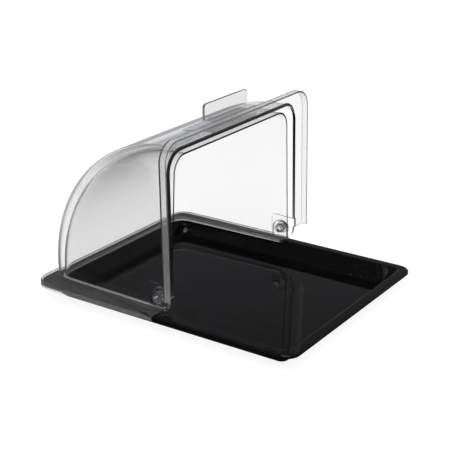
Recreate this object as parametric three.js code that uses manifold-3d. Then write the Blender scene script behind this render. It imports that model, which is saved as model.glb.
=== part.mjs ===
// Roll-top serving tray: a black tray under a clear cover of two quarter-cylinder hoods, shown open.
// Millimetres. +Z is up, -Y is the front, X runs along the line of the pivots.
// The origin is the centre of the tray's underside.
import * as THREE from "three";
import { mergeVertices } from "three/addons/utils/BufferGeometryUtils.js";
import Module from "manifold-3d";

const wasm = await Module();
wasm.setup();

// Clearances
const seatGap = 0.3; // between pieces that are welded, pinned or stand on each other
const slideGap = 0.4; // between the faces that turn against each other at a pivot
const cutOverrun = 6; // how far a cutter reaches past what it cuts

// Tray
const trayWidth = 265;
const trayLength = 322;
const trayDepth = 20;
const floorThickness = 2.5;
const wallThickness = 2.5;
const rimThickness = 2;
const rimCorner = 16;
const lipThickness = 2;
const lipDrop = 3.8;
const wallTopInset = 10.5; // from the tray's outer edge to the wall's inner face, at the rim
const wallFootInset = 21.5; // the same, at the floor
const floorCorner = 7;
const rimCornerShare = 0.72; // how much of an inset the plan corner radius gives up
const rimRound = 1.6;
const innerEdgeRound = 1.5;
const floorFillet = 4;
const footRound = 6.5;

// Both hoods
const hoodWall = 2;
const flangeThickness = 2.2;
const flangeOverhang = 3; // past the tray's rim
const flangeCorner = 21;
const flangeRound = 2;
const skirtThickness = 1.8;
const baseFillet = 2;

// Fixed rear hood, sizes from the line of the pivots
const rearEndInset = 12.2; // from the tray's rear edge to the rear wall
const rearRiseMore = 1.3; // how much higher the crown is than the reach to the rear wall
const rearInset = 17.3; // from the tray's side edge to the side wall, at the flange's underside
const rearDraft = 0.052; // how far a side wall leans in, for each millimetre up
const rearTaper = 0.03; // how far it draws in, for each millimetre back
const rearCorner = 19;
const rearTail = 10.7; // forward of the pivots
const rearSkirtDrop = 4.3;
const rearLegEnd = 0.3;
const rearEarRound = 11;

// Moving front hood, sizes from the line of the pivots with the cover closed
const frontEndInset = 9.8; // from the tray's front edge to the front wall
const frontRiseLess = 0.6; // how much lower the crown is than the reach to the front wall
const frontInset = 11.2; // from the tray's side edge to the side wall
const frontDraft = 0.045;
const frontTaper = 0;
const frontCorner = 22;
const frontTail = 11.4;
const frontSkirtDrop = 6.6;
const frontLegEnd = 3.1;
const earDrop = 14.6; // how far the side wall hangs below the pivot
const earRound = 11;
const openAngle = THREE.MathUtils.degToRad(91.3);

// Pivots
const pivotY = 3.1;
const pivotAboveRim = 17.9;
const padRise = 1.4; // of the thick square pad round the pivot, over the moving hood's side wall
const padFrontTop = 12; // how far it stands up the wall, at the flange
const padBackTop = 15.3; // the same, at its back edge
const padBack = 13.4;
const padRound = 4;
const bossRadius = 9.5; // of the round-topped hinge block, and of the flat seats on the moving hood
const shankRadius = 4.5;
const shankChamfer = 0.6;
const shankPastWall = 1.4;
const headRadius = 6.8;
const headEdge = 0.9;
const headHeight = 2.6;
const dishRadius = 4.1;
const dishDepth = 0.8;

// Pull handle, sizes from the line of the pivots with the cover closed
const handleHalfWidth = 40;
const handleStand = 12.6; // forward of the front wall
const handleTop = -4.2;
const rampLength = 36.3; // up the shell
const rampDepth = 17.9; // back into the shell
const tabLength = 16.3;
const tabTop = -1.8;
const tabThickness = 2.8;
const tabRound = 4;

// Facets
const cornerSteps = 7;
const filletSteps = 4;
const rollSteps = 20;
const turnedSegments = 40;

// Places that follow from the sizes
const rimTop = trayDepth;
const pivotZ = rimTop + pivotAboveRim;
const flangeUnderside = seatGap - pivotAboveRim; // from the pivots
const flangeTop = flangeUnderside + flangeThickness;
const flangeHalfWidth = trayWidth / 2 + flangeOverhang;
const flangeHalfLength = trayLength / 2 + flangeOverhang;
const rearReach = trayLength / 2 - pivotY - rearEndInset;
const frontReach = trayLength / 2 + pivotY - frontEndInset;
const handleReach = frontReach + handleStand;
const tabReach = handleReach + tabLength;

const clearPlastic = new THREE.MeshStandardMaterial({
  name: "clear_plastic",
  color: 0xdfe6ea,
  roughness: 0.08,
  transparent: true,
  opacity: 0.35,
});
const blackPlastic = new THREE.MeshStandardMaterial({ name: "black_plastic", color: 0x0a0a0c, roughness: 0.15 });

// A closed solid for cutting and joining.
function solidOf(geometry) {
  const bare = geometry.index ? geometry.toNonIndexed() : geometry.clone();
  bare.deleteAttribute("normal");
  bare.deleteAttribute("uv");
  const welded = mergeVertices(bare);
  const corners = welded.index.array;
  const triVerts = [];
  for (let i = 0; i < corners.length; i += 3) {
    const [a, b, c] = [corners[i], corners[i + 1], corners[i + 2]];
    if (a !== b && b !== c && c !== a) triVerts.push(a, b, c);
  }
  return new wasm.Manifold(
    new wasm.Mesh({
      numProp: 3,
      vertProperties: welded.attributes.position.array,
      triVerts: new Uint32Array(triVerts),
    }),
  );
}

function meshOf(name, solid, material) {
  const { vertProperties, triVerts } = solid.getMesh();
  const geometry = new THREE.BufferGeometry();
  geometry.setAttribute("position", new THREE.BufferAttribute(new Float32Array(vertProperties), 3));
  geometry.setIndex(new THREE.BufferAttribute(new Uint32Array(triVerts), 1));
  const faceted = geometry.toNonIndexed();
  faceted.computeVertexNormals();
  const mesh = new THREE.Mesh(faceted, material.clone());
  mesh.name = name;
  return mesh;
}

// An open path through corners given as [a, b] or [a, b, radius], with the round ones as arcs.
function roundedPath(corners, steps) {
  return corners.flatMap(([a, b, radius], i) => {
    if (!radius) return [[a, b]];
    const corner = new THREE.Vector2(a, b);
    const toward = (j) => new THREE.Vector2(corners[j][0], corners[j][1]).sub(corner).normalize();
    const before = toward(i - 1);
    const after = toward(i + 1);
    const halfAngle = Math.acos(before.dot(after)) / 2;
    const middle = before.clone().add(after).normalize();
    const centre = corner.clone().addScaledVector(middle, radius / Math.sin(halfAngle));
    const start = corner.clone().addScaledVector(before, radius / Math.tan(halfAngle)).sub(centre);
    const end = corner.clone().addScaledVector(after, radius / Math.tan(halfAngle)).sub(centre);
    const turn = Math.atan2(start.cross(end), start.dot(end));
    return Array.from({ length: steps + 1 }, (_, k) => {
      const point = start.clone().rotateAround(new THREE.Vector2(), (turn * k) / steps).add(centre);
      return [point.x, point.y];
    });
  });
}

// A rounded rectangle in plan, counter-clockwise, as points [x, y].
function roundedRectangle(halfX, halfY, corner) {
  const path = roundedPath(
    [
      [halfX, 0],
      [halfX, halfY, corner],
      [-halfX, halfY, corner],
      [-halfX, -halfY, corner],
      [halfX, -halfY, corner],
      [halfX, 0],
    ],
    cornerSteps,
  );
  return path.slice(1);
}

// A solid skin through rings of points [x, y, z], closed by a fan at each end.
function loft(rings) {
  const positions = [];
  const quad = (a, b, c, d) => positions.push(...a, ...b, ...c, ...a, ...c, ...d);
  const count = rings[0].length;
  for (let r = 0; r + 1 < rings.length; r += 1)
    for (let i = 0; i < count; i += 1) {
      const next = (i + 1) % count;
      quad(rings[r][i], rings[r][next], rings[r + 1][next], rings[r + 1][i]);
    }
  const fan = (ring) => {
    const middle = [0, 1, 2].map((k) => ring.reduce((sum, point) => sum + point[k], 0) / ring.length);
    for (let i = 0; i < count; i += 1) positions.push(...middle, ...ring[i], ...ring[(i + 1) % count]);
  };
  fan([...rings[0]].reverse());
  fan(rings.at(-1));
  const geometry = new THREE.BufferGeometry();
  geometry.setAttribute("position", new THREE.Float32BufferAttribute(positions, 3));
  return solidOf(geometry);
}

// Rounded rectangles that follow a path of [inset, height] from an outer edge.
function trayLikeSolid({ halfX, halfY, centreY, cornerAt, path }) {
  return loft(
    path.map(([inset, height]) =>
      roundedRectangle(halfX - inset, halfY - inset, cornerAt(inset)).map(([x, y]) => [x, y + centreY, height]),
    ),
  );
}

// An outline of points [y, z] carried along X.
function prismAlongX(outline, fromX, toX) {
  const shape = new THREE.Shape(outline.map(([y, z]) => new THREE.Vector2(y, z)));
  const geometry = new THREE.ExtrudeGeometry(shape, { depth: toX - fromX, bevelEnabled: false });
  geometry.translate(0, 0, fromX);
  const turned = new THREE.Matrix4().makeBasis(
    new THREE.Vector3(0, 1, 0),
    new THREE.Vector3(0, 0, 1),
    new THREE.Vector3(1, 0, 0),
  );
  return solidOf(geometry.applyMatrix4(turned));
}

function boxOf(fromX, toX, fromY, toY, fromZ, toZ) {
  const geometry = new THREE.BoxGeometry(toX - fromX, toY - fromY, toZ - fromZ);
  return solidOf(geometry.translate((fromX + toX) / 2, (fromY + toY) / 2, (fromZ + toZ) / 2));
}

// A profile of points [x, radius] turned about the line of the pivots.
function turnedAboutX(profile) {
  const points = profile.map(([x, radius]) => new THREE.Vector2(radius, x));
  const geometry = new THREE.LatheGeometry(points, turnedSegments);
  return solidOf(geometry.rotateZ(-Math.PI / 2));
}

function rodAlongX(radius, fromX, toX) {
  return turnedAboutX([
    [fromX, 0],
    [fromX, radius],
    [toX, radius],
    [toX, 0],
  ]);
}

function makeTray() {
  const lean = (wallFootInset - wallTopInset) / (trayDepth - floorThickness);
  const wallAcross = wallThickness * Math.hypot(1, lean);
  const outerFaceAt = (height) => wallTopInset + lean * (rimTop - height) - wallAcross;
  const rimUnderside = rimTop - rimThickness;
  const middleInset = wallFootInset + footRound * 2;
  const corners = [
    [middleInset, 0],
    [outerFaceAt(0), 0, footRound],
    [outerFaceAt(rimUnderside), rimUnderside],
    [lipThickness, rimUnderside],
    [lipThickness, rimTop - lipDrop],
    [0, rimTop - lipDrop],
    [0, rimTop, rimRound],
    [wallTopInset, rimTop, innerEdgeRound],
    [wallFootInset, floorThickness, floorFillet],
    [middleInset, floorThickness],
  ];
  return trayLikeSolid({
    halfX: trayWidth / 2,
    halfY: trayLength / 2,
    centreY: 0,
    cornerAt: (inset) => Math.max(floorCorner, rimCorner - inset * rimCornerShare),
    path: roundedPath(corners, filletSteps),
  });
}

// How far from the middle a hood's side wall is, at a place [y, z] from the pivots.
function sideOf({ halfWidth, draft, taper }, [y, z]) {
  return halfWidth - draft * (z - flangeUnderside) - taper * y;
}

// One ring of a hood: from the line [y, z] of its origin out to the arch, and back round by its heel.
function hoodRing(form, origin, direction, heel) {
  const { corner } = form;
  const radius = 1 / Math.hypot(direction[0] / form.reach, direction[1] / form.rise);
  const placeAt = (reach) => [origin[0] + direction[0] * reach, origin[1] + direction[1] * reach];
  const foot = sideOf(form, placeAt(0));
  const shoulder = sideOf(form, placeAt(radius));
  const arch = roundedPath(
    [
      [foot, 0],
      [shoulder, radius, corner],
      [-shoulder, radius, corner],
      [-foot, 0],
    ],
    cornerSteps,
  );
  return [
    ...arch.map(([x, reach]) => [x, ...placeAt(reach)]),
    [-sideOf(form, heel), ...heel],
    [sideOf(form, heel), ...heel],
  ];
}

// The filled form of a hood: upright below the pivots, a quarter roll above them, then a level tail.
function filledHood(form) {
  const { tail, bottom } = form;
  const heel = [-tail, bottom];
  const rings = [hoodRing(form, [0, bottom], [1, 0], heel)];
  for (let i = 0; i <= rollSteps; i += 1) {
    const roll = ((Math.PI / 2) * i) / rollSteps;
    rings.push(hoodRing(form, [0, 0], [Math.cos(roll), Math.sin(roll)], heel));
  }
  rings.push(hoodRing(form, [-tail, 0], [0, 1], heel));
  return loft(rings);
}

function grownForm(form, growth) {
  return {
    ...form,
    reach: form.reach + growth,
    rise: form.rise + growth,
    halfWidth: form.halfWidth + growth,
    corner: form.corner + growth,
  };
}

function cavityOf(form) {
  return filledHood({
    ...grownForm(form, -hoodWall),
    tail: form.tail + cutOverrun,
    bottom: form.bottom - cutOverrun,
  });
}

// Everything low that lies forward of the end of a flange's legs.
function frontOf(legEnd) {
  const across = flangeHalfWidth + cutOverrun;
  const low = flangeUnderside - frontSkirtDrop - cutOverrun;
  return boxOf(-across, across, -trayLength, legEnd, low, 0);
}

// What rounds off the corner of a hood's side walls below the pivots.
function earCutOf({ tail, bottom }, legEnd, drop, round) {
  const outline = roundedPath(
    [
      [-tail - cutOverrun, bottom - cutOverrun],
      [legEnd, bottom - cutOverrun],
      [legEnd, -drop],
      [-tail, -drop, round],
      [-tail, 0],
      [-tail - cutOverrun, 0],
    ],
    cornerSteps,
  );
  return prismAlongX(outline, -flangeHalfWidth, flangeHalfWidth);
}

// The small fillet where the walls of a hood stand on its flange.
function baseFilletOf(form) {
  const level = (z, growth) => hoodRing(grownForm(form, growth), [0, z], [1, 0], [-form.tail, z]);
  const rings = [level(flangeTop - flangeThickness / 2, baseFillet)];
  for (let i = 0; i <= filletSteps; i += 1) {
    const turn = ((Math.PI / 2) * i) / filletSteps;
    rings.push(level(flangeTop + baseFillet * (1 - Math.cos(turn)), baseFillet * (1 - Math.sin(turn))));
  }
  return loft(rings);
}

// The flat flange with its hanging skirt, behind the end of its two legs.
function flangeOf(form, centreY, skirtDrop, legEnd) {
  const skirtTip = flangeUnderside - skirtDrop;
  const corners = [
    [flangeCorner, flangeUnderside],
    [skirtThickness, flangeUnderside],
    [skirtThickness, skirtTip],
    [0, skirtTip],
    [0, flangeTop, flangeRound],
    [flangeCorner, flangeTop],
  ];
  const plate = trayLikeSolid({
    halfX: flangeHalfWidth,
    halfY: flangeHalfLength,
    centreY,
    cornerAt: (inset) => Math.max(flangeRound, flangeCorner - inset),
    path: roundedPath(corners, filletSteps),
  });
  return plate.add(baseFilletOf(form)).subtract(frontOf(legEnd));
}

const rearForm = {
  reach: rearReach,
  rise: rearReach + rearRiseMore,
  halfWidth: trayWidth / 2 - rearInset,
  draft: rearDraft,
  taper: rearTaper,
  corner: rearCorner,
  tail: rearTail,
  bottom: flangeUnderside,
};
const frontForm = {
  reach: frontReach,
  rise: frontReach - frontRiseLess,
  halfWidth: trayWidth / 2 - frontInset,
  draft: frontDraft,
  taper: frontTaper,
  corner: frontCorner,
  tail: frontTail,
  bottom: flangeUnderside,
};
const pivotHole = rodAlongX(shankRadius + seatGap, -flangeHalfWidth, flangeHalfWidth);

// Where the faces at a pivot are, from the middle.
const blockFace = sideOf(frontForm, [0, bossRadius]) - hoodWall - slideGap;
const headSeat = sideOf(frontForm, [0, -bossRadius]) + padRise;

function makeRearHood() {
  return filledHood(rearForm)
    .add(flangeOf(rearForm, -pivotY, rearSkirtDrop, rearLegEnd))
    .subtract(cavityOf(rearForm))
    .subtract(earCutOf(rearForm, rearLegEnd, -flangeUnderside, rearEarRound))
    .subtract(pivotHole);
}

// Made like the rear hood, bulging towards +Y, and turned to face the front where it is mounted.
function makeFrontHood() {
  const padOutline = roundedPath(
    [
      [-frontTail, flangeUnderside],
      [padFrontTop, flangeUnderside],
      [padBackTop, padBack, padRound],
      [-frontTail, padBack, padRound],
      [-frontTail, flangeUnderside],
    ],
    filletSteps,
  ).slice(1);
  const pads = prismAlongX(padOutline, -flangeHalfWidth, flangeHalfWidth);
  let hood = filledHood(frontForm)
    .add(flangeOf(frontForm, pivotY, frontSkirtDrop, frontLegEnd))
    .add(filledHood(grownForm(frontForm, padRise)).intersect(pads))
    .subtract(cavityOf(frontForm))
    .subtract(earCutOf(frontForm, frontLegEnd, earDrop, earRound));
  for (const side of [-1, 1]) {
    const faces = [side * (blockFace + slideGap), side * headSeat].sort((a, b) => a - b);
    hood = hood.add(rodAlongX(bossRadius, ...faces));
  }
  return hood.subtract(pivotHole);
}

// A block with a ramp down to the shell and a level finger tab, bulging towards +Y like its hood.
function makeHandle() {
  const block = prismAlongX(
    [
      [handleReach, flangeTop + seatGap],
      [handleReach, handleTop],
      [handleReach - rampDepth, handleTop + rampLength],
      [handleReach - rampDepth, flangeTop + seatGap],
    ],
    -handleHalfWidth,
    handleHalfWidth,
  );
  const tabOutline = roundedPath(
    [
      [handleHalfWidth, handleReach - tabRound],
      [handleHalfWidth, tabReach, tabRound],
      [-handleHalfWidth, tabReach, tabRound],
      [-handleHalfWidth, handleReach - tabRound],
    ],
    filletSteps,
  );
  const shape = new THREE.Shape(tabOutline.map(([x, y]) => new THREE.Vector2(x, y)));
  const tab = new THREE.ExtrudeGeometry(shape, { depth: tabThickness, bevelEnabled: false });
  tab.translate(0, 0, tabTop - tabThickness);
  const clearOfHood = grownForm(frontForm, seatGap);
  return block.add(solidOf(tab)).subtract(filledHood(clearOfHood)).subtract(baseFilletOf(clearOfHood));
}

// A block with a round top, welded on the rear hood's wall, which keeps the moving hood clear of it.
function makeHingeBlock() {
  const foot = flangeTop + baseFillet + seatGap;
  return rodAlongX(bossRadius, blockFace - cutOverrun, blockFace)
    .add(boxOf(blockFace - cutOverrun, blockFace, -bossRadius, bossRadius, foot, 0))
    .subtract(filledHood(grownForm(rearForm, seatGap)))
    .subtract(pivotHole);
}

function makePin() {
  const tip = sideOf(rearForm, [shankRadius, shankRadius]) - hoodWall - shankPastWall;
  const seat = headSeat + seatGap;
  const top = seat + headHeight;
  return turnedAboutX([
    [tip, 0],
    [tip, shankRadius - shankChamfer],
    [tip + shankChamfer, shankRadius],
    [seat, shankRadius],
    [seat, headRadius],
    ...roundedPath(
      [
        [seat + headEdge, headRadius],
        [top, headRadius, headHeight - headEdge],
        [top, dishRadius],
      ],
      filletSteps,
    ),
    [top - dishDepth, dishRadius],
    [top - dishDepth, 0],
  ]);
}

const servingTray = new THREE.Group();
servingTray.name = "roll_top_serving_tray";
servingTray.add(meshOf("tray", makeTray(), blackPlastic));

const pivotLine = new THREE.Group();
pivotLine.position.set(0, pivotY, pivotZ);
servingTray.add(pivotLine);
pivotLine.add(meshOf("rear_hood", makeRearHood(), clearPlastic));

for (const [sideName, side] of [
  ["left", -1],
  ["right", 1],
])
  for (const [name, solid] of [
    ["hinge_block", makeHingeBlock()],
    ["pivot_pin", makePin()],
  ]) {
    const piece = meshOf(`${name}_${sideName}`, solid, clearPlastic);
    piece.scale.x = side;
    pivotLine.add(piece);
  }

// Closed, the front hood faces -Y. Shown open, it is rolled back over the rear hood.
const rolledBack = new THREE.Group();
rolledBack.rotation.set(-openAngle, 0, Math.PI);
pivotLine.add(rolledBack);
rolledBack.add(meshOf("front_hood", makeFrontHood(), clearPlastic));
rolledBack.add(meshOf("pull_handle", makeHandle(), clearPlastic));

export default servingTray;
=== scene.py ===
"""Roll-top serving tray: finer shapes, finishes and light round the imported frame.

The scene is in metres. Sizes here are in millimetres, as a maker would mark them, unless a heading says
otherwise. +Z is up, -Y is the front, X runs along the line of the pivots.
"""
import math

import bmesh
import bpy
from mathutils import Euler, Matrix, Vector


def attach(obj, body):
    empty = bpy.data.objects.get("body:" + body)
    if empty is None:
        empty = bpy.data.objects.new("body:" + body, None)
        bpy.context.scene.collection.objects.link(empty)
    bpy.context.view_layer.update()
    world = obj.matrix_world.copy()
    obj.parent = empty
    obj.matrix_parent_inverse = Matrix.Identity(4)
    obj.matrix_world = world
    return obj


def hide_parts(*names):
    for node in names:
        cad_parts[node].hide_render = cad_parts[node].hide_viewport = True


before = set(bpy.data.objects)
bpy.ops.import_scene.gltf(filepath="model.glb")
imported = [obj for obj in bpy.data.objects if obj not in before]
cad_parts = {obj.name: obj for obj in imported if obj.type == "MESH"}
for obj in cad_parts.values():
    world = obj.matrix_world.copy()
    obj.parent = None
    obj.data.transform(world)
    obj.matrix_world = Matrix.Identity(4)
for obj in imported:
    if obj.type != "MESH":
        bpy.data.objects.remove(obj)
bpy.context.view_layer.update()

MM = 0.001
WHITE = (1, 1, 1, 1)
scene = bpy.context.scene
scene.view_settings.view_transform = "Standard"

# Camera, at the viewing angle of the photograph
VIEW_TURN = math.radians(-56.11)
VIEW_RISE = math.radians(20.98)
VIEW_ROLL = math.radians(0.22)
VIEW_DISTANCE = 1281.62
AIM_ACROSS = -1.96
AIM_UP = 54.16
AIM_BACK = 1.5
IMAGE_SIDE = 450
FOCAL_PIXELS = 1161.74
SENSOR_WIDTH = 36.0

# Clearances
SEAT_GAP = 0.3
SLIDE_GAP = 0.4
OVERRUN = 6.0

# Tray
TRAY_WIDTH = 265.0
TRAY_LENGTH = 322.0
TRAY_DEPTH = 20.0
FLOOR_THICKNESS = 2.5
TRAY_WALL = 2.5
RIM_THICKNESS = 2.0
RIM_CORNER = 16.0
RIM_CORNER_SHARE = 0.72
RIM_ROUND = 1.6
LIP_THICKNESS = 2.0
LIP_DROP = 3.8
WALL_TOP_INSET = 10.5
WALL_FOOT_INSET = 21.5
INNER_EDGE_ROUND = 1.5
FLOOR_CORNER = 7.0
FLOOR_FILLET = 4.0
FOOT_ROUND = 6.5

# Both hoods
HOOD_WALL = 2.0
FLANGE_THICKNESS = 2.2
FLANGE_OVERHANG = 3.0
FLANGE_CORNER = 21.0
FLANGE_ROUND = 2.0
SKIRT_THICKNESS = 1.8
BASE_FILLET = 2.0

# Pivots
PIVOT_Y = 3.1
PIVOT_ABOVE_RIM = 17.9
PIVOT_Z = TRAY_DEPTH + PIVOT_ABOVE_RIM
FLANGE_UNDERSIDE = SEAT_GAP - PIVOT_ABOVE_RIM
FLANGE_TOP = FLANGE_UNDERSIDE + FLANGE_THICKNESS
FLANGE_HALF_WIDTH = TRAY_WIDTH / 2 + FLANGE_OVERHANG
FLANGE_HALF_LENGTH = TRAY_LENGTH / 2 + FLANGE_OVERHANG
OPEN_ANGLE = math.radians(91.3)
PAD_RISE = 1.4
PAD_FRONT_TOP = 12.0
PAD_BACK_TOP = 15.3
PAD_BACK = 13.4
PAD_ROUND = 4.0
BOSS_RADIUS = 9.5
BOSS_SINK = 0.05
SHANK_RADIUS = 4.5
SHANK_CHAMFER = 0.6
SHANK_PAST_WALL = 1.4
HEAD_RADIUS = 6.8
HEAD_EDGE = 0.9
HEAD_HEIGHT = 2.6
DISH_RADIUS = 4.1
DISH_DEPTH = 0.8

# Hoods, from the line of the pivots
REAR_SETBACK = 12.2
REAR_SIDE_SETBACK = 17.3
REAR_CROWN = 1.3
FRONT_SETBACK = 9.8
FRONT_SIDE_SETBACK = 11.2
FRONT_CROWN = -0.6
REAR_REACH = TRAY_LENGTH / 2 - PIVOT_Y - REAR_SETBACK
FRONT_REACH = TRAY_LENGTH / 2 + PIVOT_Y - FRONT_SETBACK

# Each hood's form: draft and taper are how far a side wall leans in as it rises and as it runs outwards
REAR = {
    "reach": REAR_REACH, "rise": REAR_REACH + REAR_CROWN, "half": TRAY_WIDTH / 2 - REAR_SIDE_SETBACK,
    "draft": 0.052, "taper": 0.03, "corner": 19.0, "tail": 10.7, "skirt": 4.3, "leg_end": 0.3,
    "ear_drop": -FLANGE_UNDERSIDE, "ear_round": 11.0,
}
FRONT = {
    "reach": FRONT_REACH, "rise": FRONT_REACH + FRONT_CROWN, "half": TRAY_WIDTH / 2 - FRONT_SIDE_SETBACK,
    "draft": 0.045, "taper": 0.0, "corner": 22.0, "tail": 11.4, "skirt": 6.6, "leg_end": 3.1,
    "ear_drop": 14.6, "ear_round": 11.0,
}

# Pull handle, from the line of the pivots
HANDLE_PROUD = 12.6
TAB_PROUD = 16.3
HANDLE_HALF = 40.0
HANDLE_REACH = FRONT_REACH + HANDLE_PROUD
HANDLE_TOP = -4.2
RAMP_LENGTH = 36.3
RAMP_DEPTH = 17.9
TAB_REACH = HANDLE_REACH + TAB_PROUD
TAB_TOP = -1.8
TAB_THICKNESS = 2.8
TAB_ROUND = 4.0

# How finely curves are cut, and how edges are softened
CORNER_STEPS = 14
FILLET_STEPS = 6
ROLL_STEPS = 60
ROUND_STEPS = 64
EDGE_SOFTENING = 0.45
SOFT_STEPS = 2
SMOOTH_BELOW = math.radians(32)
FLAT_BELOW = math.radians(0.05)
FLAT_WEIGHT = 100
SLIVER_SIDES = 4
WELD = 2e-6

# Clear plastic. Shades run from 0, seen square on, to 1, seen edge on. Absorption is per metre.
CLEAR_SHADES = ((0.0, 0.975), (0.5, 0.998), (0.85, 0.97), (0.94, 0.75), (1.0, 0.05))
HANDLE_SHADES = ((0.0, 0.9), (0.48, 0.74), (0.62, 0.98), (1.0, 0.85))
# The softened edges are painted grey and mostly opaque: dark lines over white, light lines over black
PAINTED_EDGE_SHADES = ((0.0, 0.28), (1.0, 0.28))
FACING_BLEND = 0.5
CLEAR_GLOSS = 0.25
CLEAR_ROUGHNESS = 0.012
PIN_ROUGHNESS = 0.05
REFRACTION = 1.49
HOLLOW_REFRACTION = 1.15
ABSORBED = (0.49, 0.5, 0.53, 1)
ABSORPTION = 20.0
HOLLOW_ABSORPTION = 6.0
# Flange, skirt and foot of the walls are made partly milky, which paints pale bands of light on them
FLANGE_CLARITY = 0.985
SKIRT_CLARITY = 0.88
FOOT_CLARITY = 0.65
PAINTED_EDGE_CLARITY = 0.25
SHADOW_SHADE = 0.9
CLOUD_SHADE = 0.97
CLOUD_SHARE = 0.5

# Material slots of a clear piece, after the plain one: painted dark and light lines on the softened edges,
# then painted light bands on the flange, the skirt and the foot of the walls
PAINTED_EDGE_SLOT, FLANGE_SLOT, SKIRT_SLOT, FOOT_SLOT = 1, 2, 3, 4

# Black plastic: its own black, and the grey of its dust and of its sharp edges, which are partly rubbed and
# partly painted lighter as a highlight
BLACK = (0.003, 0.003, 0.0035, 1)
DUST_AND_HIGHLIGHT_GREY = (0.03, 0.03, 0.032, 1)
BLACK_REFRACTION = 1.45
BLACK_ROUGHNESS = 0.008
SCRATCH_DEPTH = 0.02
SCRATCH_STRENGTH = 0.25

# Marks of handling: their scales on each plastic, and how much each one dulls it or greys it. The greying of
# sharp edges is partly real rubbing and partly a painted highlight.
CLEAR_MARKS = {"Scratch Scale": 40.0, "Cloud Scale": 16.0}
BLACK_MARKS = {"Scratch Scale": 60.0, "Cloud Scale": 11.0}
CLEAR_DULLING = {"Scratches": 0.05, "Clouds": 0.012}
BLACK_DULLING = {"Scratches": 0.1, "Clouds": 0.03, "Rub And Highlight": 0.15}
BLACK_GREYING = {"Dust": 0.6, "Rub And Highlight": 0.5}
SCRATCH_TURNS = ((0.2, 0.1, 0.5), (-0.3, 0.25, -0.9))
SCRATCH_STRETCH = (1.0, 14.0, 14.0)
SCRATCH_DETAIL = 3.0
SCRATCH_FROM = (0.66, 0.72)
CLOUD_DETAIL = 4.0
CLOUD_DISTORTION = 0.6
DUST_SCALE = 140.0
DUST_FROM = (0.05, 0.0)
# Sharp edges, in patches, rubbed and painted lighter as a highlight
RUB_AND_HIGHLIGHT_FROM = (0.54, 0.62)
RUB_AND_HIGHLIGHT_SCALE = 60.0

# Studio, in metres. Its shades run from the horizon to straight overhead.
STUDIO_SHADES = ((0.0, 1.0), (0.1, 0.7), (0.32, 0.19), (0.5, 0.09), (1.0, 0.055))
STUDIO_TINT = (0.95, 0.97, 1.02, 1)
FILL_LIGHT = 0.5
LAMP_SIDE = 1.2
LAMP_POWER = 14.0
LAMP_PLACE = (-0.8, -0.6, 1.5)
PAPER_SIDE = 40.0
PAPER_DROP = 0.0005
PAPER_SHADE = 0.25
PAPER_GLOW = 0.9
MIRRORED_FROM = (-0.05, 0.25)
MIRRORED_GLOW = (0.03, 0.45)
CLIP_NEAR, CLIP_FAR = 0.05, 50.0
LIGHT_BOUNCES = 24


def make_camera():
    """The photograph's view: a turn round the tray, a rise above it and a slight roll."""
    back = Vector((
        math.sin(VIEW_TURN) * math.cos(VIEW_RISE),
        -math.cos(VIEW_TURN) * math.cos(VIEW_RISE),
        math.sin(VIEW_RISE),
    ))
    level = Vector((math.cos(VIEW_TURN), math.sin(VIEW_TURN), 0.0))
    up = back.cross(level)
    rim_middle = Vector((0.0, AIM_BACK, TRAY_DEPTH))
    eye = (rim_middle + level * AIM_ACROSS + up * AIM_UP + back * VIEW_DISTANCE) * MM
    across = level * math.cos(VIEW_ROLL) + up * math.sin(VIEW_ROLL)
    upright = up * math.cos(VIEW_ROLL) - level * math.sin(VIEW_ROLL)
    data = bpy.data.cameras.new("photo_camera")
    data.sensor_width = SENSOR_WIDTH
    data.lens = FOCAL_PIXELS * SENSOR_WIDTH / IMAGE_SIDE
    data.clip_start, data.clip_end = CLIP_NEAR, CLIP_FAR
    camera = bpy.data.objects.new("photo_camera", data)
    scene.collection.objects.link(camera)
    camera.matrix_world = Matrix.Translation(eye) @ Matrix((across, upright, back)).transposed().to_4x4()
    scene.camera = camera


make_camera()


# Modelling by hand: loops extruded one from another, then cut and joined


def take(piece):
    """Select only this piece and make it active."""
    bpy.ops.object.select_all(action="DESELECT")
    piece.select_set(True)
    bpy.context.view_layer.objects.active = piece


def skin(name, loops):
    """A closed skin: a circle laid on the first loop, extruded to each next one and filled at both ends."""
    loops = [[Vector(point) * MM for point in loop] for loop in loops]
    count = len(loops[0])
    bpy.ops.object.select_all(action="DESELECT")
    bpy.ops.mesh.primitive_circle_add(vertices=count, fill_type="NOTHING")
    piece = bpy.context.object
    piece.name = name
    for vertex, place in zip(piece.data.vertices, loops[0]):
        vertex.co = place
    bpy.ops.object.mode_set(mode="EDIT")
    bpy.ops.mesh.select_all(action="SELECT")
    first = count
    for loop in loops[1:]:
        bpy.ops.mesh.extrude_region_move()
        shape = bmesh.from_edit_mesh(piece.data)
        shape.verts.ensure_lookup_table()
        for step, place in enumerate(loop):
            shape.verts[first + step].co = place
        first += count
        bmesh.update_edit_mesh(piece.data)
    bpy.ops.mesh.edge_face_add()
    bpy.ops.mesh.select_all(action="DESELECT")
    shape = bmesh.from_edit_mesh(piece.data)
    shape.verts.ensure_lookup_table()
    for step in range(count):
        shape.verts[step].select = True
    shape.select_flush(True)
    bmesh.update_edit_mesh(piece.data)
    bpy.ops.mesh.edge_face_add()
    bpy.ops.mesh.select_all(action="SELECT")
    bpy.ops.mesh.remove_doubles(threshold=WELD)
    bpy.ops.mesh.dissolve_degenerate(threshold=WELD)
    bpy.ops.mesh.normals_make_consistent(inside=False)
    bpy.ops.object.mode_set(mode="OBJECT")
    return piece


def work(piece, tool, operation):
    """Join, cut or keep a piece with a tool, which is used up."""
    take(piece)
    change = piece.modifiers.new("work", "BOOLEAN")
    change.solver = "EXACT"
    change.operation = operation
    change.object = tool
    bpy.ops.object.modifier_apply(modifier=change.name)
    bpy.data.objects.remove(tool)
    return piece


def join(piece, tool):
    return work(piece, tool, "UNION")


def cut(piece, tool):
    return work(piece, tool, "DIFFERENCE")


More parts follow.
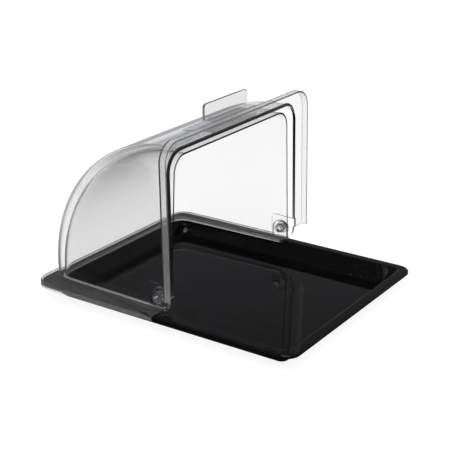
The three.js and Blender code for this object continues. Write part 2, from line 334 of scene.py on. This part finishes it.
def rounded_path(corners, steps):
    """Points along corners given as (a, b) or (a, b, radius), with the round ones as arcs."""
    points = []
    for i, corner in enumerate(corners):
        middle = Vector(corner[:2])
        if len(corner) < 3:
            points.append(tuple(middle))
            continue
        radius = corner[2]
        before = (Vector(corners[i - 1][:2]) - middle).normalized()
        after = (Vector(corners[(i + 1) % len(corners)][:2]) - middle).normalized()
        half_angle = math.acos(max(-1.0, min(1.0, before.dot(after)))) / 2
        centre = middle + (before + after).normalized() * (radius / math.sin(half_angle))
        start = middle + before * (radius / math.tan(half_angle)) - centre
        end = middle + after * (radius / math.tan(half_angle)) - centre
        turn = math.atan2(start.x * end.y - start.y * end.x, start.dot(end))
        for step in range(steps + 1):
            angle = turn * step / steps
            points.append((
                centre.x + start.x * math.cos(angle) - start.y * math.sin(angle),
                centre.y + start.x * math.sin(angle) + start.y * math.cos(angle),
            ))
    return points


def rounded_rectangle(half_x, half_y, corner):
    signs = ((1, 1), (-1, 1), (-1, -1), (1, -1))
    return rounded_path([(x * half_x, y * half_y, corner) for x, y in signs], CORNER_STEPS)


def rim_loops(half_x, half_y, centre_y, corner_at, path):
    """Rounded rectangles that follow a path of (inset, height) from an outer edge."""
    loops = []
    for inset, height in path:
        rectangle = rounded_rectangle(half_x - inset, half_y - inset, corner_at(inset))
        loops.append([(x, y + centre_y, height) for x, y in rectangle])
    return loops


def along_x(name, outline, from_x, to_x):
    """An outline of (y, z) drawn out along the line of the pivots."""
    return skin(name, [[(x, y, z) for y, z in outline] for x in (from_x, to_x)])


def turned(name, profile):
    """A profile of (x, radius) turned about the line of the pivots."""
    angles = [2 * math.pi * step / ROUND_STEPS for step in range(ROUND_STEPS)]
    return skin(name, [[(x, r * math.cos(a), r * math.sin(a)) for a in angles] for x, r in profile])


def rod(radius, from_x, to_x):
    return turned("rod", [(from_x, radius), (to_x, radius)])


def pivot_hole():
    return rod(SHANK_RADIUS + SEAT_GAP, -FLANGE_HALF_WIDTH, FLANGE_HALF_WIDTH)


def side_of(form, y, z):
    """How far from the middle a hood's side wall is, at a place from the pivots."""
    return form["half"] - form["draft"] * (z - FLANGE_UNDERSIDE) - form["taper"] * y


def grown(form, by):
    """A hood's form made larger all round, or smaller where the growth is negative."""
    return form | {key: form[key] + by for key in ("reach", "rise", "half", "corner")}


def hood_loop(form, origin, direction, heel):
    """One loop of a hood: out to the arch and over it, then back by the heel."""
    radius = 1 / math.hypot(direction[0] / form["reach"], direction[1] / form["rise"])
    foot = side_of(form, *origin)
    shoulder = side_of(form, origin[0] + direction[0] * radius, origin[1] + direction[1] * radius)
    corner = form["corner"]
    arch = rounded_path(
        [(foot, 0.0), (shoulder, radius, corner), (-shoulder, radius, corner), (-foot, 0.0)], CORNER_STEPS,
    )
    loop = [(x, origin[0] + direction[0] * out, origin[1] + direction[1] * out) for x, out in arch]
    heel_half = side_of(form, *heel)
    return loop + [(-heel_half, *heel), (heel_half, *heel)]


def filled_hood(name, form, tail, bottom):
    """A hood without its hollow: level at its foot, rolled over a quarter turn, and on to the tail."""
    heel = (-tail, bottom)
    loops = [hood_loop(form, (0.0, bottom), (1.0, 0.0), heel)]
    for step in range(ROLL_STEPS + 1):
        roll = math.pi / 2 * step / ROLL_STEPS
        loops.append(hood_loop(form, (0.0, 0.0), (math.cos(roll), math.sin(roll)), heel))
    loops.append(hood_loop(form, (-tail, 0.0), (0.0, 1.0), heel))
    return skin(name, loops)


def forward_of(leg_end):
    """Everything low that lies forward of the end of a flange's legs."""
    low = FLANGE_UNDERSIDE - FRONT["skirt"] - OVERRUN
    outline = [(leg_end, low), (leg_end, 0.0), (-TRAY_LENGTH, 0.0), (-TRAY_LENGTH, low)]
    return along_x("forward_part", outline, -FLANGE_HALF_WIDTH - OVERRUN, FLANGE_HALF_WIDTH + OVERRUN)


def base_fillet(form):
    """The small fillet where the walls of a hood stand on its flange."""
    def level(z, growth):
        return hood_loop(grown(form, growth), (0.0, z), (1.0, 0.0), (-form["tail"], z))
    loops = [level(FLANGE_TOP - FLANGE_THICKNESS / 2, BASE_FILLET)]
    for step in range(FILLET_STEPS + 1):
        turn = math.pi / 2 * step / FILLET_STEPS
        rise, spread = BASE_FILLET * (1 - math.cos(turn)), BASE_FILLET * (1 - math.sin(turn))
        loops.append(level(FLANGE_TOP + rise, spread))
    return skin("base_fillet", loops)


def flange(form, centre_y):
    """A hood's flange: a plate with a hanging skirt, the fillet of the walls on it, and two legs in front."""
    skirt_tip = FLANGE_UNDERSIDE - form["skirt"]
    path = rounded_path([
        (FLANGE_CORNER, FLANGE_UNDERSIDE), (SKIRT_THICKNESS, FLANGE_UNDERSIDE), (SKIRT_THICKNESS, skirt_tip),
        (0.0, skirt_tip), (0.0, FLANGE_TOP, FLANGE_ROUND), (FLANGE_CORNER, FLANGE_TOP),
    ], FILLET_STEPS)

    def corner_at(inset):
        return max(FLANGE_ROUND, FLANGE_CORNER - inset)
    plate = skin("flange", rim_loops(FLANGE_HALF_WIDTH, FLANGE_HALF_LENGTH, centre_y, corner_at, path))
    return cut(join(plate, base_fillet(form)), forward_of(form["leg_end"]))


def ear_cut(form):
    """What rounds off the corner of a hood's side walls below the pivots."""
    tail, drop, leg_end = form["tail"], form["ear_drop"], form["leg_end"]
    low = FLANGE_UNDERSIDE - OVERRUN
    outline = rounded_path([
        (-tail - OVERRUN, low), (leg_end, low), (leg_end, -drop), (-tail, -drop, form["ear_round"]),
        (-tail, 0.0), (-tail - OVERRUN, 0.0),
    ], CORNER_STEPS)
    return along_x("ear_cut", outline, -FLANGE_HALF_WIDTH, FLANGE_HALF_WIDTH)


def dress_rim_with_painted_light(hood, foot):
    """Give the flange, its skirt and the fillet at the foot of the walls partly milky shades of the plastic,
    which paint pale bands of light on them.
    """
    for part in (CLEAR, CLEAR_EDGE_PAINTED_LINES, CLEAR_FLANGE_PAINTED_LIGHT, CLEAR_SKIRT_PAINTED_LIGHT, foot):
        hood.data.materials.append(part)
    for face in hood.data.polygons:
        heights = [hood.data.vertices[i].co.z / MM for i in face.vertices]
        if min(heights) < FLANGE_UNDERSIDE - SKIRT_THICKNESS / 4:
            face.material_index = SKIRT_SLOT
        elif max(heights) < FLANGE_TOP + WELD / MM:
            face.material_index = FLANGE_SLOT
        elif max(heights) < FLANGE_TOP + BASE_FILLET + WELD / MM:
            face.material_index = FOOT_SLOT


def shell(name, form, centre_y, foot, pads=None):
    """A hood with its flange: joined while solid, given its finishes and painted light bands, then hollowed
    and its ears rounded off.
    """
    tail = form["tail"]
    hood = join(filled_hood(name, form, tail, FLANGE_UNDERSIDE), flange(form, centre_y))
    if pads:
        join(hood, pads)
    dress_rim_with_painted_light(hood, foot)
    cut(hood, filled_hood("cavity", grown(form, -HOOD_WALL), tail + OVERRUN, FLANGE_UNDERSIDE - OVERRUN))
    return cut(hood, ear_cut(form))


def finished(piece, body, slot, node, *materials, opened=False):
    """Put a piece in its place, soften its edges, dress it and let it ride on its body."""
    piece.location = (0.0, PIVOT_Y * MM, PIVOT_Z * MM)
    if opened:
        piece.rotation_mode = "ZYX"
        piece.rotation_euler = Euler((-OPEN_ANGLE, 0.0, math.pi), "ZYX")
    take(piece)
    bpy.ops.object.transform_apply(location=True, rotation=True, scale=True)
    bpy.ops.object.mode_set(mode="EDIT")
    bpy.ops.mesh.select_all(action="SELECT")
    bpy.ops.mesh.remove_doubles(threshold=WELD)
    bpy.ops.mesh.dissolve_limited(angle_limit=FLAT_BELOW)
    bpy.ops.mesh.select_all(action="SELECT")
    bpy.ops.mesh.fill_holes(sides=SLIVER_SIDES)
    bpy.ops.object.mode_set(mode="OBJECT")
    for material in materials:
        piece.data.materials.append(material)
    soft = piece.modifiers.new("soft_edges", "BEVEL")
    soft.width = EDGE_SOFTENING * MM
    soft.segments = SOFT_STEPS
    soft.limit_method = "ANGLE"
    soft.angle_limit = SMOOTH_BELOW
    soft.use_clamp_overlap = True
    # The softened edges take the painted dark and light lines
    if len(piece.data.materials) > PAINTED_EDGE_SLOT:
        soft.material = PAINTED_EDGE_SLOT
    bpy.ops.object.modifier_apply(modifier=soft.name)
    bpy.ops.object.shade_smooth_by_angle(angle=SMOOTH_BELOW)
    flat = piece.modifiers.new("true_flats", "WEIGHTED_NORMAL")
    flat.weight = FLAT_WEIGHT
    flat.keep_sharp = True
    bpy.ops.object.modifier_apply(modifier=flat.name)
    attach(piece, body)
    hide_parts(node)


# Finishes


def grey(shade):
    return (shade, shade, shade, 1)


def add_node(tree, kind, inputs=None, **settings):
    """A node with its settings, and each named input given a plain value or another node's output."""
    node = tree.nodes.new(kind)
    for name, setting in settings.items():
        setattr(node, name, setting)
    for name, given in (inputs or {}).items():
        if isinstance(given, bpy.types.NodeSocket):
            tree.links.new(given, node.inputs[name])
        else:
            node.inputs[name].default_value = given
    return node


def number_node(tree, operation, first, second):
    """A sum, product, greatest or least of two inputs, each a number or another node's output."""
    return add_node(tree, "ShaderNodeMath", {0: first, 1: second}, operation=operation).outputs[0]


def range_node(tree, value, given, wanted=(0.0, 1.0)):
    """A value brought from one range to another, and held inside it."""
    return add_node(tree, "ShaderNodeMapRange", {
        "Value": value, "From Min": given[0], "From Max": given[1], "To Min": wanted[0], "To Max": wanted[1],
    }).outputs[0]


def ramp_node(tree, value, shades):
    """The grey at a value, from shades given as (place, shade)."""
    ramp = add_node(tree, "ShaderNodeValToRGB", {"Fac": value})
    stops = ramp.color_ramp.elements
    for (place, shade), stop in zip((shades[0], shades[-1]), (stops[0], stops[1])):
        stop.position, stop.color = place, grey(shade)
    for place, shade in shades[1:-1]:
        stops.new(place).color = grey(shade)
    return ramp.outputs["Color"]


def colour_node(tree, blend, share, first, second):
    """Two colours blended, by a share of the second."""
    inputs = {"Factor": share, "A": first, "B": second}
    return add_node(tree, "ShaderNodeMix", inputs, data_type="RGBA", blend_type=blend).outputs["Result"]


def either_node(tree, share, first, second):
    """One shader or another, by a share of the second."""
    return add_node(tree, "ShaderNodeMixShader", {0: share, 1: first.outputs[0], 2: second.outputs[0]})


def weighed(tree, outputs, weights):
    """The sum of the named outputs, each times its weight."""
    total = None
    for name, weight in weights.items():
        part = number_node(tree, "MULTIPLY", outputs[name], weight)
        total = part if total is None else number_node(tree, "ADD", total, part)
    return total


def new_tree(owner):
    """The node tree of a new material or world, emptied."""
    owner.use_nodes = True
    owner.node_tree.nodes.clear()
    return owner.node_tree


def new_group(name, given, shown):
    """An empty node group, with names for the numbers that go in and come out."""
    group = bpy.data.node_groups.new(name, "ShaderNodeTree")
    for way, sockets in (("INPUT", given), ("OUTPUT", shown)):
        for socket in sockets:
            group.interface.new_socket(name=socket, in_out=way, socket_type="NodeSocketFloat")
    return group


def handling_marks():
    """Group: hairline scratches, slow clouding left by wiping, and specks of dust."""
    group = new_group("handling_marks", ("Scratch Scale", "Cloud Scale"), ("Scratches", "Clouds", "Dust"))
    given = add_node(group, "NodeGroupInput").outputs
    place = add_node(group, "ShaderNodeTexCoord").outputs["Object"]
    layers = []
    for turn in SCRATCH_TURNS:
        laid = add_node(group, "ShaderNodeMapping", {
            "Vector": place, "Rotation": turn, "Scale": SCRATCH_STRETCH,
        })
        streaks = add_node(group, "ShaderNodeTexNoise", {
            "Vector": laid.outputs[0], "Scale": given["Scratch Scale"], "Detail": SCRATCH_DETAIL,
        })
        layers.append(range_node(group, streaks.outputs["Fac"], SCRATCH_FROM))
    clouds = add_node(group, "ShaderNodeTexNoise", {
        "Vector": place, "Scale": given["Cloud Scale"], "Detail": CLOUD_DETAIL,
        "Distortion": CLOUD_DISTORTION,
    })
    specks = add_node(group, "ShaderNodeTexVoronoi", {"Vector": place, "Scale": DUST_SCALE})
    add_node(group, "NodeGroupOutput", {
        "Scratches": number_node(group, "MAXIMUM", *layers), "Clouds": clouds.outputs["Fac"],
        "Dust": range_node(group, specks.outputs["Distance"], DUST_FROM),
    })
    return group


def rubbed_and_highlit_edges():
    """Group: where the outer edges are rubbed by hands and cloths, and painted lighter there as a highlight.
    """
    group = new_group("rubbed_and_highlit_edges", (), ("Rub And Highlight",))
    sharp = range_node(group, add_node(group, "ShaderNodeNewGeometry").outputs["Pointiness"], RUB_AND_HIGHLIGHT_FROM)
    place = add_node(group, "ShaderNodeTexCoord").outputs["Object"]
    patches = add_node(group, "ShaderNodeTexNoise", {"Vector": place, "Scale": RUB_AND_HIGHLIGHT_SCALE})
    rub_and_highlight = number_node(group, "MULTIPLY", sharp, patches.outputs["Fac"])
    add_node(group, "NodeGroupOutput", {"Rub And Highlight": rub_and_highlight})
    return group


def clear_plastic(
    name, shades, roughness=CLEAR_ROUGHNESS, clarity=1.0, refraction=REFRACTION, absorption=ABSORPTION,
):
    """Clear moulding: greyer seen edge on, faintly clouded and scratched, and it lets the lamps through."""
    material = bpy.data.materials.new(name)
    tree = new_tree(material)
    marks = add_node(tree, "ShaderNodeGroup", CLEAR_MARKS, node_tree=MARKS).outputs
    facing = add_node(tree, "ShaderNodeLayerWeight", {"Blend": FACING_BLEND}).outputs["Facing"]
    shade = ramp_node(tree, facing, shades)
    cloudy = number_node(tree, "MULTIPLY", marks["Clouds"], CLOUD_SHARE)
    dulling = weighed(tree, marks, CLEAR_DULLING)
    body = add_node(tree, "ShaderNodeBsdfPrincipled", {
        "Base Color": colour_node(tree, "MULTIPLY", cloudy, shade, grey(CLOUD_SHADE)),
        "Roughness": number_node(tree, "ADD", dulling, roughness),
        "Transmission Weight": clarity, "IOR": refraction, "Specular Tint": grey(CLEAR_GLOSS),
    })
    see_through = add_node(tree, "ShaderNodeBsdfTransparent", {"Color": grey(SHADOW_SHADE)})
    in_shadow = add_node(tree, "ShaderNodeLightPath").outputs["Is Shadow Ray"]
    surface = either_node(tree, in_shadow, body, see_through)
    absorb = add_node(tree, "ShaderNodeVolumeAbsorption", {"Color": ABSORBED, "Density": absorption})
    add_node(tree, "ShaderNodeOutputMaterial", {"Surface": surface.outputs[0], "Volume": absorb.outputs[0]})
    return material


def black_plastic():
    """Black gloss moulding: a wiped, finely scratched sheen, a little dust, and rubbed edges greyed partly as
    wear and partly as a painted highlight.
    """
    material = bpy.data.materials.new("black_gloss_plastic")
    tree = new_tree(material)
    marks = add_node(tree, "ShaderNodeGroup", BLACK_MARKS, node_tree=MARKS).outputs
    rub_and_highlight = add_node(tree, "ShaderNodeGroup", node_tree=RUBS_AND_HIGHLIGHTS).outputs
    wear_and_highlight = dict(marks.items()) | dict(rub_and_highlight.items())
    cut_in = add_node(tree, "ShaderNodeBump", {
        "Strength": SCRATCH_STRENGTH, "Distance": SCRATCH_DEPTH * MM, "Height": marks["Scratches"],
    }, invert=True)
    body = add_node(tree, "ShaderNodeBsdfPrincipled", {
        "Base Color": colour_node(tree, "MIX", weighed(tree, wear_and_highlight, BLACK_GREYING), BLACK, DUST_AND_HIGHLIGHT_GREY),
        "Roughness": number_node(tree, "ADD", weighed(tree, wear_and_highlight, BLACK_DULLING), BLACK_ROUGHNESS),
        "IOR": BLACK_REFRACTION, "Normal": cut_in.outputs[0],
    })
    add_node(tree, "ShaderNodeOutputMaterial", {"Surface": body.outputs[0]})
    return material


MARKS, RUBS_AND_HIGHLIGHTS = handling_marks(), rubbed_and_highlit_edges()
CLEAR = clear_plastic("clear_moulded_plastic", CLEAR_SHADES)
# Painted dark and light lines along the softened edges
CLEAR_EDGE_PAINTED_LINES = clear_plastic("clear_edge_painted_shade_and_highlight", PAINTED_EDGE_SHADES, clarity=PAINTED_EDGE_CLARITY)
# Partly milky flange, skirt and foot of the walls, as painted light bands
CLEAR_FLANGE_PAINTED_LIGHT = clear_plastic("clear_flange_painted_light", CLEAR_SHADES, clarity=FLANGE_CLARITY)
CLEAR_SKIRT_PAINTED_LIGHT = clear_plastic("clear_skirt_painted_light", CLEAR_SHADES, clarity=SKIRT_CLARITY)
CLEAR_FOOT_PAINTED_LIGHT = clear_plastic("clear_foot_painted_light", CLEAR_SHADES, clarity=FOOT_CLARITY)
CLEAR_HANDLE = clear_plastic(
    "clear_handle_plastic", HANDLE_SHADES, refraction=HOLLOW_REFRACTION, absorption=HOLLOW_ABSORPTION,
)
CLEAR_PIN = clear_plastic("clear_pin_plastic", CLEAR_SHADES, roughness=PIN_ROUGHNESS)
BLACK_GLOSS = black_plastic()


# The pieces: how far from the middle a hinge block ends and a pin's head is seated
BLOCK_FACE = side_of(FRONT, 0.0, BOSS_RADIUS) - HOOD_WALL - SLIDE_GAP
HEAD_SEAT = side_of(FRONT, 0.0, -BOSS_RADIUS) + PAD_RISE


def make_tray():
    """The tray: one section led round it, from under the floor over the lip and down to the floor again."""
    lean = (WALL_FOOT_INSET - WALL_TOP_INSET) / (TRAY_DEPTH - FLOOR_THICKNESS)
    across = TRAY_WALL * math.hypot(1, lean)
    rim_underside = TRAY_DEPTH - RIM_THICKNESS
    lip_tip = TRAY_DEPTH - LIP_DROP
    middle = WALL_FOOT_INSET + FOOT_ROUND * 2

    def outer_face(height):
        return WALL_TOP_INSET + lean * (TRAY_DEPTH - height) - across

    def corner_at(inset):
        return max(FLOOR_CORNER, RIM_CORNER - inset * RIM_CORNER_SHARE)
    path = rounded_path([
        (middle, 0.0), (outer_face(0.0), 0.0, FOOT_ROUND), (outer_face(rim_underside), rim_underside),
        (LIP_THICKNESS, rim_underside), (LIP_THICKNESS, lip_tip), (0.0, lip_tip),
        (0.0, TRAY_DEPTH, RIM_ROUND), (WALL_TOP_INSET, TRAY_DEPTH, INNER_EDGE_ROUND),
        (WALL_FOOT_INSET, FLOOR_THICKNESS, FLOOR_FILLET), (middle, FLOOR_THICKNESS),
    ], FILLET_STEPS)
    path = [(inset, height - PIVOT_Z) for inset, height in path]
    tray = skin("tray_moulding", rim_loops(TRAY_WIDTH / 2, TRAY_LENGTH / 2, -PIVOT_Y, corner_at, path))
    finished(tray, "tray", "black_plastic", "tray", BLACK_GLOSS)


def make_rear_hood():
    """The fixed hood, bored for the pivot pins."""
    # The foot of its walls takes its own painted light band
    hood = cut(shell("fixed_rear_hood", REAR, -PIVOT_Y, CLEAR_FOOT_PAINTED_LIGHT), pivot_hole())
    finished(hood, "fixed_cover", "clear_plastic", "rear_hood")


def make_front_hood():
    """The rolling hood, closed, with a thick pad and a boss round each pivot, then rolled open."""
    tail = FRONT["tail"]
    outline = rounded_path([
        (-tail, FLANGE_UNDERSIDE), (PAD_FRONT_TOP, FLANGE_UNDERSIDE), (PAD_BACK_TOP, PAD_BACK, PAD_ROUND),
        (-tail, PAD_BACK, PAD_ROUND),
    ], FILLET_STEPS)
    pads = work(
        filled_hood("pads", grown(FRONT, PAD_RISE), tail, FLANGE_UNDERSIDE),
        along_x("pad_outline", outline, -FLANGE_HALF_WIDTH, FLANGE_HALF_WIDTH), "INTERSECT",
    )
    # The foot of its walls takes the flange's painted light
    hood = shell("rolling_front_hood", FRONT, PIVOT_Y, CLEAR_FLANGE_PAINTED_LIGHT, pads)
    for side in (-1, 1):
        faces = sorted((side * (BLOCK_FACE + SLIDE_GAP + BOSS_SINK), side * (HEAD_SEAT - BOSS_SINK)))
        join(hood, rod(BOSS_RADIUS, *faces))
    cut(hood, pivot_hole())
    finished(hood, "rolling_cover", "clear_plastic", "front_hood", opened=True)


def make_handle():
    """The pull handle: a ramp with an upright tab, cut to sit just clear of the rolling hood."""
    foot, ramp_foot = FLANGE_TOP + SEAT_GAP, HANDLE_REACH - RAMP_DEPTH
    handle = along_x("finger_handle", [
        (HANDLE_REACH, foot), (HANDLE_REACH, HANDLE_TOP), (ramp_foot, HANDLE_TOP + RAMP_LENGTH),
        (ramp_foot, foot),
    ], -HANDLE_HALF, HANDLE_HALF)
    outline = rounded_path([
        (HANDLE_HALF, HANDLE_REACH - TAB_ROUND), (HANDLE_HALF, TAB_REACH, TAB_ROUND),
        (-HANDLE_HALF, TAB_REACH, TAB_ROUND), (-HANDLE_HALF, HANDLE_REACH - TAB_ROUND),
    ], FILLET_STEPS)
    join(handle, skin("tab", [[(x, y, z) for x, y in outline] for z in (TAB_TOP - TAB_THICKNESS, TAB_TOP)]))
    clear = grown(FRONT, SEAT_GAP)
    cut(handle, filled_hood("clear_of_hood", clear, FRONT["tail"], FLANGE_UNDERSIDE))
    cut(handle, base_fillet(clear))
    finished(handle, "rolling_cover", "clear_plastic", "pull_handle", CLEAR_HANDLE, CLEAR_EDGE_PAINTED_LINES, opened=True)


def make_pivots():
    """A round-topped hinge block and a pivot pin with a dished head, on each side."""
    foot = FLANGE_TOP + BASE_FILLET + SEAT_GAP
    outline = rounded_path([
        (-BOSS_RADIUS, foot), (BOSS_RADIUS, foot), (BOSS_RADIUS, BOSS_RADIUS, BOSS_RADIUS),
        (-BOSS_RADIUS, BOSS_RADIUS, BOSS_RADIUS),
    ], CORNER_STEPS)
    tip = side_of(REAR, SHANK_RADIUS, SHANK_RADIUS) - HOOD_WALL - SHANK_PAST_WALL
    seat = HEAD_SEAT + SEAT_GAP
    top = seat + HEAD_HEIGHT
    dome = rounded_path([
        (seat + HEAD_EDGE, HEAD_RADIUS), (top, HEAD_RADIUS, HEAD_HEIGHT - HEAD_EDGE), (top, DISH_RADIUS),
    ], FILLET_STEPS)
    profile = [
        (tip, SHANK_RADIUS - SHANK_CHAMFER), (tip + SHANK_CHAMFER, SHANK_RADIUS), (seat, SHANK_RADIUS),
        (seat, HEAD_RADIUS), *dome, (top - DISH_DEPTH, DISH_RADIUS),
    ]
    for side_name, side in (("left", -1), ("right", 1)):
        faces = sorted((side * (BLOCK_FACE - OVERRUN), side * BLOCK_FACE))
        block = along_x(f"round_topped_block_{side_name}", outline, *faces)
        cut(block, filled_hood("clear_of_wall", grown(REAR, SEAT_GAP), REAR["tail"], FLANGE_UNDERSIDE))
        cut(block, pivot_hole())
        finished(block, "fixed_cover", "clear_plastic", f"hinge_block_{side_name}", CLEAR, CLEAR_EDGE_PAINTED_LINES)
        pin = turned(f"dished_pin_{side_name}", [(side * x, radius) for x, radius in profile])
        finished(pin, "fixed_cover", "pin_plastic", f"pivot_pin_{side_name}", CLEAR_PIN, CLEAR_EDGE_PAINTED_LINES)


# The studio


def make_floor():
    """White paper. In reflections it is bright behind the tray and dark in front of it."""
    bpy.ops.object.select_all(action="DESELECT")
    bpy.ops.mesh.primitive_plane_add(size=PAPER_SIDE, location=(0, 0, -PAPER_DROP))
    floor = bpy.context.object
    floor.name = "pale_floor"
    material = bpy.data.materials.new("pale_paper")
    tree = new_tree(material)
    ray = add_node(tree, "ShaderNodeLightPath").outputs
    paper = add_node(tree, "ShaderNodeBsdfDiffuse", {"Color": grey(PAPER_SHADE)})
    direct = number_node(tree, "MAXIMUM", ray["Is Camera Ray"], ray["Is Transmission Ray"])
    strength = number_node(tree, "MULTIPLY", direct, PAPER_GLOW)
    glow = add_node(tree, "ShaderNodeEmission", {"Strength": strength})
    seen = add_node(tree, "ShaderNodeAddShader", {0: paper.outputs[0], 1: glow.outputs[0]})
    place = add_node(tree, "ShaderNodeNewGeometry").outputs["Position"]
    away = (-math.sin(VIEW_TURN), math.cos(VIEW_TURN), 0.0)
    behind = add_node(tree, "ShaderNodeVectorMath", {0: place, 1: away}, operation="DOT_PRODUCT")
    level = range_node(tree, behind.outputs["Value"], MIRRORED_FROM, MIRRORED_GLOW)
    mirrored = add_node(tree, "ShaderNodeEmission", {"Strength": level})
    in_mirror = number_node(tree, "MINIMUM", ray["Glossy Depth"], 1.0)
    surface = either_node(tree, in_mirror, seen, mirrored)
    add_node(tree, "ShaderNodeOutputMaterial", {"Surface": surface.outputs[0]})
    floor.data.materials.append(material)


def make_light():
    """White behind, an even fill, reflections bright low down and dark overhead, and one soft lamp."""
    world = bpy.data.worlds.new("studio")
    scene.world = world
    tree = new_tree(world)
    fill = add_node(tree, "ShaderNodeBackground", {"Color": WHITE, "Strength": FILL_LIGHT})
    backdrop = add_node(tree, "ShaderNodeBackground", {"Color": WHITE})
    where = add_node(tree, "ShaderNodeTexCoord").outputs["Generated"]
    height = add_node(tree, "ShaderNodeSeparateXYZ", {0: where}).outputs["Z"]
    shade = ramp_node(tree, height, STUDIO_SHADES)
    studio = add_node(tree, "ShaderNodeBackground", {
        "Color": colour_node(tree, "MULTIPLY", 1.0, shade, STUDIO_TINT),
    })
    ray = add_node(tree, "ShaderNodeLightPath").outputs
    in_gloss = number_node(tree, "MAXIMUM", ray["Is Glossy Ray"], ray["Is Transmission Ray"])
    surroundings = either_node(tree, in_gloss, fill, studio)
    in_view = either_node(tree, ray["Is Camera Ray"], surroundings, backdrop)
    add_node(tree, "ShaderNodeOutputWorld", {"Surface": in_view.outputs[0]})
    lamp = bpy.data.lights.new("softbox", "AREA")
    lamp.shape = "RECTANGLE"
    lamp.size, lamp.size_y = LAMP_SIDE, LAMP_SIDE
    lamp.energy = LAMP_POWER
    softbox = bpy.data.objects.new("softbox", lamp)
    scene.collection.objects.link(softbox)
    softbox.location = LAMP_PLACE
    softbox.rotation_euler = (-softbox.location).to_track_quat("-Z", "Y").to_euler()


make_tray()
make_rear_hood()
make_front_hood()
make_handle()
make_pivots()
make_floor()
make_light()
scene.cycles.max_bounces = LIGHT_BOUNCES
scene.cycles.transmission_bounces = LIGHT_BOUNCES
scene.cycles.glossy_bounces = LIGHT_BOUNCES

bpy.context.view_layer.update()
